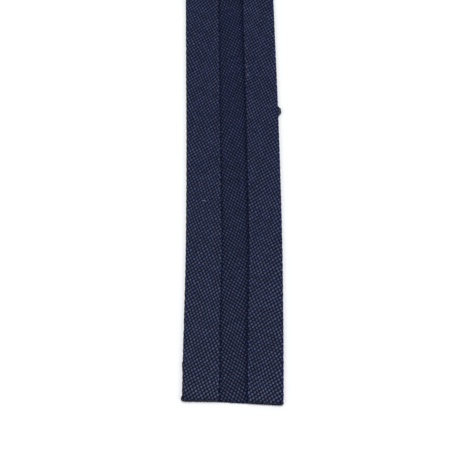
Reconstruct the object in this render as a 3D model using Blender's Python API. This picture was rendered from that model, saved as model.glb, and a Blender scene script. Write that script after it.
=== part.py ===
"""A cut length of single-fold bias tape, lying flat with its wrong side up.

The tape is one strip of plain-woven cloth. Both raw long edges are turned in over the
strip's wrong side, and a channel of that side shows between them. Units are metres, +Z is
up, +Y runs along the tape away from the slanted cut end, and the origin is under the
middle of the whole piece.
"""

import math
from collections import namedtuple

import bmesh
import bpy

MM = 0.001

# Driving sizes of the tape
LENGTH = 120 * MM
WIDTH = 20 * MM
LAYER = 1.0 * MM
LAYER_GAP = 0.3 * MM

# The tape bows a little to the left: its middle is this far off a straight line
BOW_START = -0.30 * MM
BOW_CREST = 33 * MM
BOW_PER_METRE = -0.23

# Width of each turned-in edge, from its fold to its raw edge, at places along the tape
Turn = namedtuple("Turn", "along left right")
TURNS = (
    Turn(0 * MM, 7.15 * MM, 6.80 * MM),
    Turn(17 * MM, 7.15 * MM, 6.90 * MM),
    Turn(33 * MM, 7.25 * MM, 6.65 * MM),
    Turn(52 * MM, 7.10 * MM, 6.80 * MM),
    Turn(71 * MM, 7.05 * MM, 6.75 * MM),
    Turn(88 * MM, 7.40 * MM, 6.75 * MM),
    Turn(120 * MM, 7.20 * MM, 6.80 * MM),
)

# The cut end is square on the left, slants forward to the right, and has nipped corners
Cut = namedtuple("Cut", "across along")
CUTS = (
    Cut(-10.0 * MM, 0.40 * MM),
    Cut(-9.4 * MM, 0.08 * MM),
    Cut(-3.0 * MM, 0.00 * MM),
    Cut(9.3 * MM, -0.74 * MM),
    Cut(10.0 * MM, -0.45 * MM),
)
CUT_REACH = 9 * MM

# A slub stands out of the right fold
SLUB_AT = 69.3 * MM
SLUB_HALF = 1.7 * MM
SLUB_OUT = 0.75 * MM
SLUB_DEPTH = 1.6 * MM
SLUB_STEPS = 8

# How finely the shape is divided
ROW_STEP = 2.5 * MM
TURN_STEPS = 3
FOLD_STEPS = 8
BASE_STEPS = 6

# Places worked out from the driving sizes
FOLD_RADIUS = (LAYER + LAYER_GAP) / 2
BASE_HEIGHT = LAYER / 2
FOLD_CENTRE = WIDTH / 2 - LAYER / 2 - FOLD_RADIUS
FOLD_HEIGHT = BASE_HEIGHT + FOLD_RADIUS

# Navy cotton cloth, in linear light
NAVY = (0.024, 0.030, 0.061, 1.0)


def between(value, start, end):
    """Share of the way from start to end, kept from 0 to 1."""
    return min(1.0, max(0.0, (value - start) / (end - start)))


def read_table(rows, key, column, value):
    """Reads one column of a table of named rows, on straight lines between the rows."""
    for low, high in zip(rows, rows[1:]):
        if value <= getattr(high, key):
            break
    share = between(value, getattr(low, key), getattr(high, key))
    return (1 - share) * getattr(low, column) + share * getattr(high, column)


def middle_of_tape(along):
    """How far the bow puts the middle of the tape to the side."""
    return BOW_START + BOW_PER_METRE * (along - BOW_CREST) ** 2


def slub_push(across, along):
    """How far the slub pushes the right fold outwards."""
    reach = abs(along - SLUB_AT) / SLUB_HALF
    if reach >= 1:
        return 0.0
    swell = math.cos(reach * math.pi / 2) ** 2
    return SLUB_OUT * swell * between(across, WIDTH / 2 - SLUB_DEPTH, WIDTH / 2)


def cut_shift(across, along):
    """How far the slant of the cut end moves a point along the tape."""
    fade = 1 - between(along, 0, CUT_REACH)
    return fade * read_table(CUTS, "across", "along", across)


def turned_edge(turn):
    """Middle of the cloth from the raw edge over the fold to the base, on the right."""
    raw_edge = WIDTH / 2 - turn
    top = FOLD_HEIGHT + FOLD_RADIUS
    points = []
    for step in range(TURN_STEPS):
        across = raw_edge + (FOLD_CENTRE - raw_edge) * step / TURN_STEPS
        points.append((across, top))
    for step in range(FOLD_STEPS + 1):
        angle = math.pi * (0.5 - step / FOLD_STEPS)
        across = FOLD_CENTRE + FOLD_RADIUS * math.cos(angle)
        points.append((across, FOLD_HEIGHT + FOLD_RADIUS * math.sin(angle)))
    return points


def section(along):
    """Middle of the cloth across one section, from the left raw edge to the right one."""
    left_turn = read_table(TURNS, "along", "left", along)
    right_turn = read_table(TURNS, "along", "right", along)
    left = [(-across, up) for across, up in turned_edge(left_turn)]
    right = turned_edge(right_turn)
    base = []
    for step in range(1, BASE_STEPS):
        base.append((FOLD_CENTRE * (2 * step / BASE_STEPS - 1), BASE_HEIGHT))
    return left + base + right[::-1]


def row_places():
    """Places of the sections along the tape, closer together at the slub."""
    count = round(LENGTH / ROW_STEP)
    places = {LENGTH * step / count for step in range(count + 1)}
    places = {place for place in places if abs(place - SLUB_AT) > SLUB_HALF + ROW_STEP / 4}
    for step in range(SLUB_STEPS + 1):
        places.add(SLUB_AT + SLUB_HALF * (2 * step / SLUB_STEPS - 1))
    return sorted(places)


def tape_points():
    """Points of the cloth's middle surface, row by row, over the origin."""
    rows = []
    for along in row_places():
        row = []
        for across, up in section(along):
            x = middle_of_tape(along) + across + slub_push(across, along)
            row.append((x, along + cut_shift(across, along), up))
        rows.append(row)
    sides = [point[0] for row in rows for point in row]
    ends = [point[1] for row in rows for point in row]
    centre_x = (min(sides) + max(sides)) / 2
    centre_y = (min(ends) + max(ends)) / 2
    return [[(x - centre_x, y - centre_y, z) for x, y, z in row] for row in rows]


def cloth_material():
    """Dull navy cotton."""
    material = bpy.data.materials.new("navy_cotton")
    material.use_nodes = True
    shader = material.node_tree.nodes["Principled BSDF"]
    shader.inputs["Base Color"].default_value = NAVY
    shader.inputs["Roughness"].default_value = 0.85
    shader.inputs["Metallic"].default_value = 0.0
    return material


def make_tape():
    """Builds the strip as a surface and gives it the cloth's thickness."""
    model = bmesh.new()
    rows = [[model.verts.new(point) for point in row] for row in tape_points()]
    for near, far in zip(rows, rows[1:]):
        for place in range(len(near) - 1):
            model.faces.new((near[place], near[place + 1], far[place + 1], far[place]))
    bmesh.ops.recalc_face_normals(model, faces=model.faces)
    mesh = bpy.data.meshes.new("tape")
    model.to_mesh(mesh)
    model.free()
    mesh.materials.append(cloth_material())
    mesh.shade_smooth()
    tape = bpy.data.objects.new("tape", mesh)
    bpy.context.scene.collection.objects.link(tape)
    thickness = tape.modifiers.new("cloth_thickness", "SOLIDIFY")
    thickness.thickness = LAYER
    thickness.offset = 0.0
    thickness.use_even_offset = True
    return tape


for leftover in list(bpy.data.objects):
    bpy.data.objects.remove(leftover)
make_tape()
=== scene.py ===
"""Looks of a cut length of single-fold bias tape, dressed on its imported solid.

One strip of piece-dyed navy cotton-blend plain weave lies wrong side up, with both raw long
edges turned in. The cloth is laid out flat, thread crossing by thread crossing, and is then
taken over its two folds. Sizes are in millimetres in the cloth's and the table's own plans,
and are turned to Blender's metres where a mesh is made.
"""

import logging
import math
from dataclasses import dataclass
from enum import Enum

import bpy
import numpy as np
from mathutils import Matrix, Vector
from mathutils.geometry import delaunay_2d_cdt

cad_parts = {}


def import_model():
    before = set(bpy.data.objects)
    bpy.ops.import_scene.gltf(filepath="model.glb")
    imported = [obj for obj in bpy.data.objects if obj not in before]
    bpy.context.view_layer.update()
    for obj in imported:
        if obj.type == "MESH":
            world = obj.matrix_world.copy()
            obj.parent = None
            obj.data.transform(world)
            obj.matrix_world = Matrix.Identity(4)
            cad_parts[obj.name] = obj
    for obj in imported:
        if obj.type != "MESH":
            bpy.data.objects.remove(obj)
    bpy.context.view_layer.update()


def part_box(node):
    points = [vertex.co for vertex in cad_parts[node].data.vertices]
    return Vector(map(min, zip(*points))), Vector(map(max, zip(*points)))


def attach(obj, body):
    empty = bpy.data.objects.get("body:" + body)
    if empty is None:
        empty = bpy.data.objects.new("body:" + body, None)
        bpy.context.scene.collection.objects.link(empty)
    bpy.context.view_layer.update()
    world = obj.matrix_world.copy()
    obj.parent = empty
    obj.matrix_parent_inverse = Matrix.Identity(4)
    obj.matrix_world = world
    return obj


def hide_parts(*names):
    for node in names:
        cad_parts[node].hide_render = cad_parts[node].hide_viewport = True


MM = 0.001
BODY = "root"
NODE = "tape"
PHOTO_SIDE = 470

# Names that the meshes, the node trees and the materials share
CLOTH = "bias_tape_cloth"
WEAVE_MAP = "weave"
PAINTED_LIGHT_AND_CUT_MAP = "painted_light_and_cut_ends"
# Colour attribute that holds the cloth's painted light and shade, and its darker cut ends
AIM_MAP = "aim"
MATERIAL_INPUT = "Material"

# Node kinds that are used many times
MATH = "ShaderNodeMath"
VECTOR = "ShaderNodeVectorMath"
MIX = "ShaderNodeMix"
SCALE_TO = "ShaderNodeMapRange"
NOISE = "ShaderNodeTexNoise"
WHITE_NOISE = "ShaderNodeTexWhiteNoise"
RANDOM = "FunctionNodeRandomValue"
PLACE = "ShaderNodeTexCoord"
BUMP = "ShaderNodeBump"
SHADER = "ShaderNodeBsdfPrincipled"
OUTPUT = "ShaderNodeOutputMaterial"

# The middle part of a noise's range, where nearly all of its values lie
NOISE_LOW, NOISE_MIDDLE, NOISE_HIGH = 0.35, 0.5, 0.65

Rows = tuple[tuple[float, ...], ...]
Triple = tuple[float, float, float]

log = logging.getLogger("bias_tape")


class Face(Enum):
    """The two faces of the cloth, and which way each lies from the middle of its thickness."""

    RIGHT = 1
    WRONG = -1


class Side(Enum):
    """The two long sides of the tape, as the camera sees them."""

    LEFT = -1
    RIGHT = 1


def linear(code: str) -> tuple[float, float, float, float]:
    """Turns an sRGB hex colour to linear light.

    Args:
        code: Six hex digits, red first.

    Returns:
        Linear red, green and blue, and a full alpha.
    """
    parts = [int(code[place : place + 2], 16) / 255 for place in (0, 2, 4)]
    light = [p / 12.92 if p <= 0.04045 else ((p + 0.055) / 1.055) ** 2.4 for p in parts]
    return (light[0], light[1], light[2], 1.0)


def add_node(
    tree: bpy.types.NodeTree,
    kind: str,
    inputs: dict[int | str, object] | None = None,
    **settings: object,
) -> bpy.types.Node:
    """Adds one node with its settings, and fills or links its inputs.

    Args:
        tree: The node tree that takes the node.
        kind: The node's type name in Blender.
        inputs: Input number or name, with its value, or the output or node that feeds it.
            A node feeds it from its first output in use.
        settings: The node's own properties.

    Returns:
        The new node.
    """
    node = tree.nodes.new(kind)
    for name, value in settings.items():
        setattr(node, name, value)
    for key, value in (inputs or {}).items():
        if isinstance(value, bpy.types.Node):
            value = next(socket for socket in value.outputs if socket.enabled)
        if isinstance(value, bpy.types.NodeSocket):
            tree.links.new(value, node.inputs[key])
        else:
            node.inputs[key].default_value = value
    return node


def new_material(name: str) -> bpy.types.Material:
    """Makes an empty node material.

    Args:
        name: The material's name.

    Returns:
        The material, with no node in its tree.
    """
    material = bpy.data.materials.new(name)
    material.use_nodes = True
    material.node_tree.nodes.clear()
    return material


def link_piece(name: str, mesh: bpy.types.Mesh) -> bpy.types.Object:
    """Puts a mesh in the scene as an object at the origin.

    Args:
        name: The object's name.
        mesh: Its mesh.

    Returns:
        The new object.
    """
    piece = bpy.data.objects.new(name, mesh)
    bpy.context.scene.collection.objects.link(piece)
    return piece


def read_table(rows: Rows, column: int, where: np.ndarray) -> np.ndarray:
    """Reads one column of a table whose first column rises, on straight lines between rows."""
    table = np.array(rows)
    return np.interp(where, table[:, 0], table[:, column])


def smooth_step(value: np.ndarray) -> np.ndarray:
    """A soft step from 0 to 1 over the values from 0 to 1."""
    held = np.clip(value, 0, 1)
    return held * held * (3 - 2 * held)


@dataclass(frozen=True)
class PlainWeave:
    """The plain weave, in the flat cloth seen from its wrong side.

    The weft runs a fifth of a right angle off the strip's width, and the warp runs nearly
    along the strip. A place in the weave is (a, b): warp thread number and weft thread
    number. Both threads cross at whole numbers, and a hollow lies at the halves.

    Attributes:
        weft_angle: Degrees from the strip's width to the weft.
        warp_angle: Degrees from the strip's width to the warp.
        warp_pitch: Distance between warp threads along the weft.
        weft_pitch: Distance between weft threads along the warp.
        crimp: How far a thread rises and dips as it goes over and under.
        half_thread: Half the thickness of a pressed thread.
        thread_share: Half width of a thread, in thread steps.
        float_reach: How much longer a thread that is over looks, in thread steps.
        hollow_height: Height of a hollow's bottom over the middle of the weave.
        thread_jitter: Spread of threads about their even places, in thread steps.
        most_jitter: The furthest that a thread lies off its even place.
        most_threads: How many threads are numbered each way.
        wander: Size of the slow drift of all threads.
        waves_across: Waves of the drift across the strip. Each has its turn for each
            millimetre across and along, where it starts, and its share.
        waves_along: Waves of the drift along the strip.
        rounds: Rounds of correction that find a place in the weave.
        seed: Fixed seed of the threads' places.
    """

    weft_angle: float = 19.0
    warp_angle: float = 104.0
    warp_pitch: float = 0.39
    weft_pitch: float = 0.55
    crimp: float = 0.060
    half_thread: float = 0.080
    thread_share: float = 0.47
    float_reach: float = 0.07
    hollow_height: float = -0.020
    thread_jitter: float = 0.07
    most_jitter: float = 0.16
    most_threads: int = 1024
    wander: float = 0.10
    waves_across: Rows = ((0.52, 0.21, 0.4, 1.0), (-0.31, 0.83, 2.0, 0.6))
    waves_along: Rows = ((-0.44, 0.37, 1.1, 1.0), (0.91, 0.17, 4.2, 0.6))
    rounds: int = 6
    seed: int = 11

    @property
    def crown(self) -> float:
        """Height of the top of a thread over the middle of the weave."""
        return self.crimp + self.half_thread

    @property
    def along_weft(self) -> np.ndarray:
        """Step along a weft thread from one warp thread to the next."""
        angle = math.radians(self.weft_angle)
        return self.warp_pitch * np.array([math.cos(angle), math.sin(angle)])

    @property
    def along_warp(self) -> np.ndarray:
        """Step along a warp thread from one weft thread to the next."""
        angle = math.radians(self.warp_angle)
        return self.weft_pitch * np.array([math.cos(angle), math.sin(angle)])

    def _unevenness(self, number: np.ndarray, family: int) -> np.ndarray:
        """Says how far each thread of a family lies off its even place.

        Args:
            number: Thread numbers, whole or between.
            family: 0 for the warp and 1 for the weft.

        Returns:
            The distance of each, in thread steps.
        """
        rng = np.random.default_rng(self.seed + family)
        draws = rng.normal(0, self.thread_jitter, 2 * self.most_threads)
        held = np.clip(draws, -self.most_jitter, self.most_jitter)
        return np.interp(number, np.arange(-self.most_threads, self.most_threads), held)

    def _wander(self, flat: np.ndarray) -> np.ndarray:
        """Says how far all threads have drifted, slowly over the cloth.

        Args:
            flat: Rows of across and along in the flat cloth.

        Returns:
            Rows of drift across and along.
        """
        x, y = flat[:, 0], flat[:, 1]
        drift = []
        for waves in (self.waves_across, self.waves_along):
            parts = [
                share * np.sin(x * across + y * along + start)
                for across, along, start, share in waves
            ]
            drift.append(sum(parts))
        return self.wander * np.stack(drift, axis=1)

    def to_flat(self, a: np.ndarray, b: np.ndarray) -> np.ndarray:
        """Gives the flat cloth's place of each place in the weave.

        Args:
            a: Warp thread numbers, whole or between.
            b: Weft thread numbers, whole or between.

        Returns:
            One row of across and along for each place, in millimetres.
        """
        even_a = a + self._unevenness(a, 0)
        even_b = b + self._unevenness(b, 1)
        flat = even_a[:, None] * self.along_weft + even_b[:, None] * self.along_warp
        return flat + self._wander(flat)

    def to_weave(self, flat: np.ndarray) -> np.ndarray:
        """Finds the place in the weave of each place in the flat cloth.

        Args:
            flat: Rows of across and along in the flat cloth.

        Returns:
            One row of (a, b) for each place.
        """
        steps = np.stack([self.along_weft, self.along_warp], axis=1)
        inverse = np.linalg.inv(steps)
        found = flat @ inverse.T
        for _ in range(self.rounds):
            miss = flat - self.to_flat(found[:, 0], found[:, 1])
            found = found + miss @ inverse.T
        return found

    def height(self, a: np.ndarray, b: np.ndarray, face: Face) -> np.ndarray:
        """Height of the weave's surface over its middle, on one face.

        Args:
            a: Warp thread numbers, whole or between.
            b: Weft thread numbers, whole or between.
            face: The face that is seen. What is over on one is under on the other.

        Returns:
            The height of the upper thread, or of the hollow between threads.
        """
        over = face.value
        weft = over * self.crimp * np.cos(math.pi * (a + np.round(b)))
        warp = -over * self.crimp * np.cos(math.pi * (b + np.round(a)))
        round_weft = 1 - ((b - np.round(b)) / self.thread_share) ** 2
        round_warp = 1 - ((a - np.round(a)) / self.thread_share) ** 2
        weft_top = weft + self.half_thread * np.sqrt(np.clip(round_weft, 0, 1))
        warp_top = warp + self.half_thread * np.sqrt(np.clip(round_warp, 0, 1))
        weft_top = np.where(round_weft > 0, weft_top, self.hollow_height)
        warp_top = np.where(round_warp > 0, warp_top, self.hollow_height)
        return np.maximum(weft_top, warp_top)

    def places(self, low: tuple[float, float], high: tuple[float, float]) -> np.ndarray:
        """Makes the places of crossings, thread edges and hollows in a flat box.

        A thread edge is moved a little, so that the thread that is over looks longer than
        it is wide.

        Args:
            low: The box's lowest across and along, in millimetres.
            high: The box's highest across and along.

        Returns:
            One row of (a, b) for each place.
        """
        corners = np.array([[x, y] for x in (low[0], high[0]) for y in (low[1], high[1])])
        reach = self.to_weave(corners)
        first = np.floor(reach.min(axis=0)).astype(int) - 1
        last = np.ceil(reach.max(axis=0)).astype(int) + 1
        halves_a = np.arange(2 * first[0], 2 * last[0] + 1)
        halves_b = np.arange(2 * first[1], 2 * last[1] + 1)
        grid_a, grid_b = np.meshgrid(halves_a, halves_b)
        half_a, half_b = grid_a.ravel(), grid_b.ravel()
        parity = np.where((half_a // 2 + half_b // 2) % 2 == 0, 1.0, -1.0)
        on_weft = (half_a % 2 == 1) & (half_b % 2 == 0)
        on_warp = (half_a % 2 == 0) & (half_b % 2 == 1)
        a = half_a / 2 + np.where(on_weft, parity * self.float_reach, 0)
        b = half_b / 2 - np.where(on_warp, parity * self.float_reach, 0)
        return np.stack([a, b], axis=1)

    def thread_ends(self, ring: np.ndarray) -> tuple[np.ndarray, np.ndarray]:
        """Finds where threads end at the cloth's outline.

        Args:
            ring: The outline in the flat cloth, anticlockwise.

        Returns:
            The flat place of each thread's end, and the flat way it points, outwards.
        """
        numbers = np.floor(self.to_weave(ring))
        step = np.roll(ring, -1, axis=0) - ring
        outward = np.stack([step[:, 1], -step[:, 0]], axis=1)
        ends, aims = [], []
        for family, run in ((0, self.along_warp), (1, self.along_weft)):
            crossed = numbers[:, family] != np.roll(numbers[:, family], -1)
            way = run / np.linalg.norm(run)
            aims.append(np.sign(outward[crossed] @ way)[:, None] * way)
            ends.append((ring + step / 2)[crossed])
        return np.vstack(ends), np.vstack(aims)


@dataclass(frozen=True)
class FoldedRoute:
    """The way the flat strip lies on the table, with its two folds, bow and cut end.

    Tables have one row for each section: the place along the tape, or across it for the
    cuts, then the sizes there.

    Attributes:
        length: Length of the tape.
        width: Finished width, over both folds.
        cloth: Thickness of the cloth.
        fold_radius: Radius of a fold, to the middle of the cloth.
        bow_start: How far the middle of the tape lies to the side at the bow's crest.
        bow_crest: Place along the tape where the bow turns.
        bow_per_mm: How fast the middle goes to the side away from the crest.
        proud: How far the left and right folds stand out past the finished width, or in
            from it, as springy cloth does.
        proud_reach: How far in from a fold that reaches.
        turns: Widths of the left and right turned-in edges.
        cuts: How far the cut end lies from square, across the tape.
        cut_reach: How far along the tape the cut's slant pulls the cloth with it.
        left_lift: Spring of the left turned-in edge over the layer below.
        right_lift: Spring of the right one.
        lift_reach: Width over which a turned-in edge springs up.
        lift_waves: How uneven the spring is. Each row has a size, a turn for each
            millimetre along the tape, and a start.
        end_press: How far cutting has pressed the layers together.
        end_reach: How far from each end that reaches.
        press_reach: Distance from a fold at which the pressing is whole.
        end_set_back: How far the upper layer lies behind the lower one at the cut.
        set_back_reach: Distance from a fold at which it lies that far behind.
        slub_at: Place along the tape of the slub in the right fold.
        slub_half: Half the length of the slub.
        slub_out: How far it pushes the fold outwards.
        slub_depth: How far in from the fold the push reaches.
    """

    length: float = 120.0
    width: float = 20.0
    cloth: float = 0.40
    fold_radius: float = 0.30
    bow_start: float = -0.30
    bow_crest: float = 33.0
    bow_per_mm: float = -0.00023
    proud: Rows = (
        (0.0, 0.10, 0.13),
        (0.5, 0.08, 0.13),
        (0.9, -0.08, 0.12),
        (6.2, -0.03, 0.15),
        (6.8, 0.05, 0.15),
        (8.3, 0.13, 0.15),
        (8.7, 0.0, 0.15),
        (12.5, 0.02, 0.16),
        (20.0, 0.0, 0.16),
        (33.0, -0.04, 0.20),
        (52.0, 0.04, 0.14),
        (77.0, 0.15, 0.10),
        (90.0, 0.11, 0.11),
        (98.0, 0.03, 0.19),
        (120.0, 0.0, 0.12),
    )
    proud_reach: float = 2.5
    turns: Rows = (
        (0.0, 7.34, 6.86),
        (6.0, 7.36, 6.94),
        (17.0, 7.26, 6.98),
        (33.0, 7.53, 6.67),
        (52.0, 7.30, 6.86),
        (71.0, 7.18, 6.88),
        (88.0, 7.33, 6.96),
        (100.0, 7.44, 6.78),
        (120.0, 7.26, 6.86),
    )
    cuts: Rows = ((-10.0, 0.47), (-9.4, 0.15), (-3.0, 0.07), (9.3, -0.67), (10.0, -0.38))
    cut_reach: float = 9.0
    left_lift: float = 0.16
    right_lift: float = 0.28
    lift_reach: float = 6.5
    lift_waves: Rows = ((0.35, 0.19, 1.0), (0.2, 0.47, -2.0))
    end_press: float = 0.16
    end_reach: float = 4.0
    press_reach: float = 1.5
    end_set_back: float = 0.05
    set_back_reach: float = 1.0
    slub_at: float = 69.0
    slub_half: float = 1.35
    slub_out: float = 0.35
    slub_depth: float = 1.6

    @property
    def base_half(self) -> float:
        """Flat distance from the base's middle to where a fold starts."""
        return self.width / 2 - self.cloth / 2 - self.fold_radius

    @property
    def fold_length(self) -> float:
        """Length of cloth in one fold."""
        return math.pi * self.fold_radius

    def raw_edge(self, along: np.ndarray, side: Side) -> np.ndarray:
        """Flat distance from the base's middle to a raw edge."""
        turn = read_table(self.turns, 1 if side is Side.LEFT else 2, along)
        return self.base_half + self.fold_length + turn - self.cloth / 2 - self.fold_radius

    def middle(self, along: np.ndarray) -> np.ndarray:
        """How far the bow puts the middle of the tape to the side."""
        return self.bow_start + self.bow_per_mm * (along - self.bow_crest) ** 2

    def _flap_lift(self, out: np.ndarray, along: np.ndarray, side: np.ndarray) -> np.ndarray:
        """Says how far a turned-in edge springs up from the layer below.

        Args:
            out: Flat distance past the fold.
            along: Place along the tape.
            side: -1 on the left and 1 on the right.

        Returns:
            The height of each place, less what cutting has pressed down at the ends.
        """
        share = np.clip(out / self.lift_reach, 0, 1)
        spring = np.where(side < 0, self.left_lift, self.right_lift)
        uneven = 1.0
        for size, turn, start in self.lift_waves:
            uneven = uneven + size * np.sin(along * turn + start * side)
        free = smooth_step(np.minimum(along, self.length - along) / self.end_reach)
        pressed = self.end_press * (1 - free) * smooth_step(out / self.press_reach)
        return spring * uneven * free * share**2 - pressed

    def _slub_push(self, from_middle: np.ndarray, along: np.ndarray) -> np.ndarray:
        """Says how far the slub in the right fold pushes the cloth outwards.

        Args:
            from_middle: Distance across from the tape's middle, more to the right.
            along: Place along the tape.

        Returns:
            The push at each place.
        """
        reach = np.clip(np.abs(along - self.slub_at) / self.slub_half, 0, 1)
        inward = from_middle - self.width / 2 + self.slub_depth
        depth = smooth_step(inward / self.slub_depth)
        return self.slub_out * np.cos(reach * math.pi / 2) ** 2 * depth

    def place(self, flat: np.ndarray, offset: np.ndarray | float) -> np.ndarray:
        """Takes places of the flat cloth to the table.

        Args:
            flat: Rows of across and along in the flat cloth, in millimetres.
            offset: Height over the middle of the cloth, towards its right side.

        Returns:
            Rows of x, y and z in the photographed plan, in millimetres.
        """
        across, along = flat[:, 0], flat[:, 1]
        side = np.where(across < 0, -1.0, 1.0)
        reach = np.abs(across)
        angle = np.clip((reach - self.base_half) / self.fold_radius, 0, math.pi)
        out = np.maximum(0, reach - self.base_half - self.fold_length)
        from_middle = np.minimum(reach, self.base_half) + self.fold_radius * np.sin(angle) - out
        up = self.cloth / 2 + self.fold_radius * (1 - np.cos(angle))
        up = up + self._flap_lift(out, along, side)
        spread = side * (from_middle + offset * np.sin(angle))
        left_proud, right_proud = (read_table(self.proud, column, along) for column in (1, 2))
        proud = side * np.where(side < 0, left_proud, right_proud)
        near_fold = smooth_step((np.abs(spread) - self.width / 2) / self.proud_reach + 1)
        x = self.middle(along) + spread + proud * near_fold + self._slub_push(spread, along)
        near = 1 - np.clip(along / self.cut_reach, 0, 1)
        y = along + near * read_table(self.cuts, 1, spread)
        y = y + self.end_set_back * near * smooth_step(out / self.set_back_reach)
        return np.stack([x, y, up - offset * np.cos(angle)], axis=1)


@dataclass(frozen=True)
class WeavePlace:
    """The nodes that say where in the weave a point of the surface lies.

    Attributes:
        tree: The material's node tree.
        crossing: Whole warp and weft numbers of the nearest crossing.
        offset: Thread steps from that crossing.
        warp_over: 1 where the warp is over there, and 0 where the weft is.
        chance: The crossing's own number between 0 and 1.
        painted_light_with_cuts: Painted highlights on the folds and raw edges, painted shadow
            beside the raw
        edges, and the darker cut ends, as shares of the colour, from the mesh.
    """

    tree: bpy.types.NodeTree
    crossing: bpy.types.Node
    offset: bpy.types.Node
    warp_over: bpy.types.Node
    chance: bpy.types.Node
    painted_light_with_cuts: bpy.types.Node


@dataclass(frozen=True)
class DyedCotton:
    """Cotton and polyester plain weave, piece-dyed navy and pressed flat.

    The colour paints small greyish highlights on the weft tops, which are also rubbed to a
    faint gloss, a darker warp between them, and painted shade in the hollows, which are
    nearly black. The dye is a little uneven.

    Attributes:
        name: The material's name.
        weft: Colour of the tops of the weft threads, lighter than the warp's as a painted
        highlight.
        warp: Colour of the tops of the warp threads.
        hollow: Colour between threads, nearly black as painted shade.
        cool: Tint of the bluer places in the dye.
        warm: Tint of the greyer places in the dye.
        weft_long: Half length of a weft thread's light top, in thread steps.
        weft_wide: Half width of a weft thread's light top, in thread steps.
        warp_long: Half length of a warp thread's light top, in thread steps.
        warp_wide: Half width of a warp thread's light top, in thread steps.
        lean: How far the tops lean, because the strip was pulled along its length.
        top_hardness: How soon a top falls off to its hollow. Less is a flatter top.
        thread_tone: How far whole threads differ in lightness.
        crossing_tone: How far crossings differ in lightness.
        fibre_tone: How far fibres differ in lightness.
        fibre_low: Low end of the fibres' noise.
        fibre_high: High end of the fibres' noise.
        fibres_across: Fibres side by side in a thread. Real ones are about 30, too fine to
            show, so they are drawn this coarse.
        fibres_along: Fibre lengths in a thread step.
        fibre_twist: Slant of the fibres in their thread.
        fibre_apart: How far apart two crossings lie in the fibres' noise.
        patch_mm: Size of the uneven places in the dye.
        smooth_fibre: Roughness of the smoothest rubbed fibres.
        rough_fibre: Roughness of the others on a weft top.
        rough_warp: Roughness of a warp top.
        rough_hollow: Roughness between threads.
        polish_low: Share of a top's light below which nothing rubs it.
        polish_high: Share above which it is rubbed in full.
        specular: Strength of the gloss, low for cotton.
        bump_strength: Strength of the fibres' relief.
        bump_mm: Depth of the fibres' relief.
    """

    name: str
    weft: str = "363E58"
    warp: str = "0B1333"
    hollow: str = "000014"
    cool: str = "FAFCFF"
    warm: str = "FFFDFC"
    weft_long: float = 0.78
    weft_wide: float = 0.64
    warp_long: float = 0.60
    warp_wide: float = 0.48
    lean: float = 0.06
    top_hardness: float = 0.7
    thread_tone: float = 0.12
    crossing_tone: float = 0.28
    fibre_tone: float = 0.35
    fibre_low: float = 0.3
    fibre_high: float = 0.7
    fibres_across: float = 12.0
    fibres_along: float = 2.5
    fibre_twist: float = 4.0
    fibre_apart: float = 40.0
    patch_mm: float = 2.4
    smooth_fibre: float = 0.32
    rough_fibre: float = 0.44
    rough_warp: float = 0.80
    rough_hollow: float = 1.0
    polish_low: float = 0.25
    polish_high: float = 0.6
    specular: float = 0.086
    bump_strength: float = 0.6
    bump_mm: float = 0.02

    @staticmethod
    def _locate(tree: bpy.types.NodeTree) -> WeavePlace:
        """Finds the crossing that a point belongs to, from the weave's UV map.

        Args:
            tree: The material's node tree.

        Returns:
            The nodes that say where the point lies.
        """
        weave = add_node(tree, "ShaderNodeUVMap", uv_map=WEAVE_MAP)
        shifted = add_node(tree, VECTOR, {0: weave, 1: (0.5, 0.5, 0.0)}, operation="ADD")
        crossing = add_node(tree, VECTOR, {0: shifted}, operation="FLOOR")
        offset = add_node(tree, VECTOR, {0: weave, 1: crossing}, operation="SUBTRACT")
        total = add_node(tree, VECTOR, {0: crossing, 1: (1.0, 1.0, 0.0)}, operation="DOT_PRODUCT")
        warp_over = add_node(tree, MATH, {0: total, 1: 2.0}, operation="FLOORED_MODULO")
        chance = add_node(tree, WHITE_NOISE, {"Vector": crossing}, noise_dimensions="2D")
        # Painted light and shade, and the darker cut ends, read from the mesh
        painted_light_with_cuts = add_node(tree, "ShaderNodeAttribute", attribute_name=PAINTED_LIGHT_AND_CUT_MAP)
        return WeavePlace(tree, crossing, offset, warp_over, chance, painted_light_with_cuts)

    def _thread_top(self, at: WeavePlace) -> bpy.types.Node:
        """Draws the light top of the upper thread.

        Args:
            at: Where the point lies.

        Returns:
            The node whose value goes from 1 on the top to 0 in the hollow.
        """
        tree = at.tree
        weft_reach = (1 / self.weft_long, 1 / self.weft_wide, 0.0)
        warp_reach = (1 / self.warp_wide, 1 / self.warp_long, 0.0)
        sizes = {0: at.warp_over, 4: weft_reach, 5: warp_reach}
        reach = add_node(tree, MIX, sizes, data_type="VECTOR")
        pull = {0: at.offset, 1: (self.lean, self.lean, 0.0)}
        lean = add_node(tree, VECTOR, pull, operation="DOT_PRODUCT")
        leant = add_node(tree, VECTOR, {0: at.offset, 1: lean}, operation="ADD")
        scaled = add_node(tree, VECTOR, {0: leant, 1: reach}, operation="MULTIPLY")
        square = add_node(tree, VECTOR, {0: scaled, 1: scaled}, operation="DOT_PRODUCT")
        raised = add_node(tree, MATH, {0: 1.0, 1: square}, operation="SUBTRACT", use_clamp=True)
        return add_node(tree, MATH, {0: raised, 1: self.top_hardness}, operation="POWER")

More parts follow.
